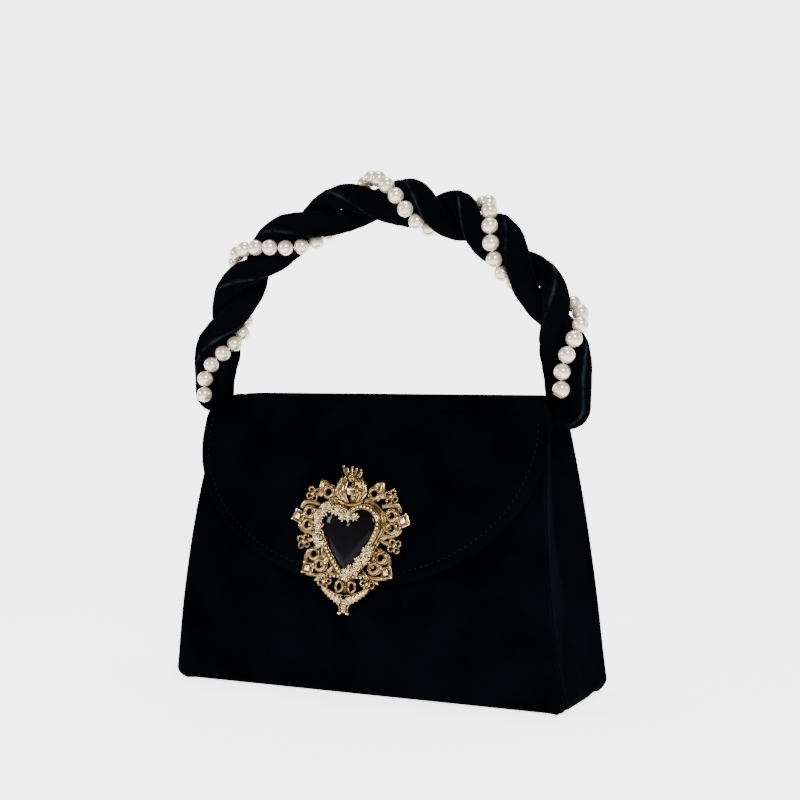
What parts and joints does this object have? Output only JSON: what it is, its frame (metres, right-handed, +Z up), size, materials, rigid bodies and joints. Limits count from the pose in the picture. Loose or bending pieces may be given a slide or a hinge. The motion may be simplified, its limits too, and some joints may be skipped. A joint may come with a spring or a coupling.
{
  "type": "evening bag",
  "caption": "Small structured velvet evening bag with a fold-over flap, a heart brooch and an arched handle of twisted padded tubes and pearls.",
  "frame": {"origin": "middle of the base, on the surface the bag stands on", "axes": "+X to the bag's right seen from the front, -Y towards the front with the brooch, +Z up"},
  "size_m": [0.2169, 0.0811, 0.2565],
  "materials": {
    "velvet": "short dense pile velvet, near black with a cool sheen",
    "board": "grey-brown bag maker's board",
    "satin": "black satin lining",
    "gold": "antiqued pale gold plating over cast metal",
    "steel": "bare steel washer and magnet",
    "enamel": "polished black enamel",
    "pearl": "cream pearlescent coating",
    "thread": "polyester thread",
    "filling": "cotton filler cord"
  },
  "bodies": {
    "body": {"back_panel": "velvet", "back_board": "board", "back_lining": "satin", "base_panel": "velvet", "base_board": "board", "base_lining": "satin", "gusset_left": "velvet", "gusset_right": "velvet", "gusset_lining_left": "satin", "gusset_lining_right": "satin", "slip_pocket": "satin", "pocket_binding": "velvet", "handle_strap_left": "velvet", "handle_strap_right": "velvet"},
    "front": {"front_panel": "velvet", "front_board": "board", "front_lining": "satin", "snap_socket": "gold", "snap_magnet": "steel", "socket_washer": "steel"},
    "bridge": {"bridge_panel": "velvet", "bridge_lining": "satin"},
    "flap": {"flap_panel": "velvet", "flap_board": "board", "flap_lining": "satin", "flap_stitching": "thread", "snap_stud": "gold", "stud_washer": "steel", "brooch_plate": "gold", "brooch_posts": "gold", "post_nuts": "gold", "heart_bezel": "gold", "heart_stone": "enamel", "bezel_beads": "gold", "flame_crest": "gold", "flower_spray_upper": "gold", "flower_spray_lower": "gold", "corner_studs": "gold", "brooch_pendant": "gold"},
    "handle": {"tube_a_sleeve": "velvet", "tube_b_sleeve": "velvet", "tube_a_core": "filling", "tube_b_core": "filling", "pearls": "pearl", "pearl_thread": "thread"}
  },
  "joints": [
    {"name": "bridge_lift", "type": "hinge", "parent": "body", "child": "bridge", "pos_m": [0, 0.0096, 0.1429], "axis": [-1, 0, 0], "range_deg": [0, 25]},
    {"name": "flap_fold", "type": "hinge", "parent": "bridge", "child": "flap", "pos_m": [0, -0.0161, 0.1429], "axis": [-1, 0, 0], "range_deg": [0, 110]},
    {"name": "mouth_spread", "type": "hinge", "parent": "body", "child": "front", "pos_m": [0, -0.0261, 0.006], "axis": [1, 0, 0], "range_deg": [0, 5.5]},
    {"name": "handle_swing", "type": "hinge", "parent": "body", "child": "handle", "pos_m": [0, 0, 0.1295], "axis": [-1, 0, 0], "range_deg": [0, 20], "deforming": ["handle_strap_left", "handle_strap_right"]}
  ],
  "couplings": [
    {"joint": "mouth_spread", "follows": "flap_fold", "ratio": 0.05}
  ]
}
